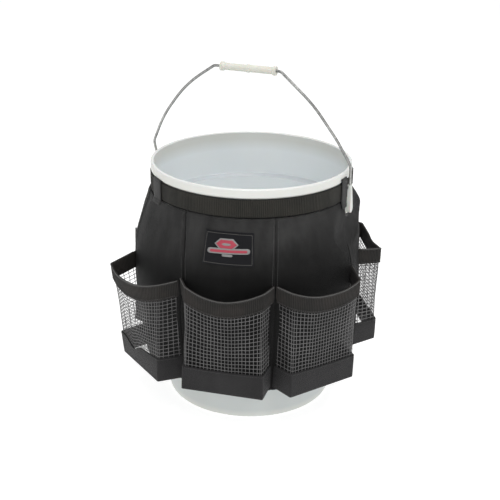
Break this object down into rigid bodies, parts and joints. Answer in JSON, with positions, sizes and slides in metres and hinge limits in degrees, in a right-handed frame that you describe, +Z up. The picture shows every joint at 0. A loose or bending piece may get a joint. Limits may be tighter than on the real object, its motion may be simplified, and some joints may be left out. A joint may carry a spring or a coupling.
{
  "type": "tool bucket organizer",
  "caption": "Open pail with a swinging wire bail and grip, wrapped by a belted fabric skirt with a ring of open-mesh tool pockets.",
  "frame": {"origin": "centre of the pail's foot ring, on the plane it stands on", "axes": "+Z up through the pail's mouth; +X along the bail's pivot axis; the label faces mostly -Y"},
  "size_m": [0.3998, 0.395, 0.5212],
  "materials": {
    "pail_plastic": "satin moulded polyethylene",
    "wire": "zinc-plated wire",
    "grip_plastic": "ivory moulded grip",
    "fitting_plastic": "white moulded fitting",
    "buckle_plastic": "black acetal",
    "webbing": "ribbed nylon webbing",
    "elastic": "woven elastic",
    "skirt_fabric": "coated woven nylon",
    "pocket_mesh": "open square mesh, vinyl-coated strands",
    "base_fabric": "coated woven nylon",
    "binding_tape": "binding tape",
    "label_cloth": "woven patch with stitched edge"
  },
  "bodies": {
    "organizer": {"belt_keeper": "elastic", "belt_loop_1": "webbing", "belt_loop_2": "webbing", "belt_loop_3": "webbing", "belt_tail": "webbing", "belt_webbing": "webbing", "bucket_body": "pail_plastic", "buckle_plug": "buckle_plastic", "buckle_socket": "buckle_plastic", "hem_binding": "binding_tape", "label_patch": "label_cloth", "pocket_base_band_1": "base_fabric", "pocket_base_band_2": "base_fabric", "pocket_base_band_3": "base_fabric", "pocket_base_band_4": "base_fabric", "pocket_base_band_5": "base_fabric", "pocket_base_band_6": "base_fabric", "pocket_base_band_7": "base_fabric", "pocket_mesh_1": "pocket_mesh", "pocket_mesh_2": "pocket_mesh", "pocket_mesh_3": "pocket_mesh", "pocket_mesh_4": "pocket_mesh", "pocket_mesh_5": "pocket_mesh", "pocket_mesh_6": "pocket_mesh", "pocket_mesh_7": "pocket_mesh", "pocket_mouth_webbing_1": "webbing", "pocket_mouth_webbing_2": "webbing", "pocket_mouth_webbing_3": "webbing", "pocket_mouth_webbing_4": "webbing", "pocket_mouth_webbing_5": "webbing", "pocket_mouth_webbing_6": "webbing", "pocket_mouth_webbing_7": "webbing", "seam_tapes": "binding_tape", "skirt_panel_1": "skirt_fabric", "skirt_panel_2": "skirt_fabric", "skirt_panel_3": "skirt_fabric", "skirt_panel_4": "skirt_fabric", "skirt_panel_5": "skirt_fabric", "skirt_panel_6": "skirt_fabric", "skirt_panel_7": "skirt_fabric", "skirt_panel_8": "skirt_fabric", "skirt_panel_9": "skirt_fabric", "skirt_waistband": "webbing"},
    "bail": {"bail_pivot_left": "fitting_plastic", "bail_pivot_right": "fitting_plastic", "bail_wire": "wire"},
    "grip": {"bail_grip": "grip_plastic"}
  },
  "joints": [
    {"name": "bail_swing", "type": "hinge", "parent": "organizer", "child": "bail", "pos_m": [0, 0, 0.318], "axis": [1, 0, 0], "range_deg": [-101.8, 88.2]},
    {"name": "grip_spin", "type": "hinge", "parent": "bail", "child": "grip", "pos_m": [0, -0.02344, 0.51461], "axis": [1, 0, 0], "continuous": true}
  ]
}
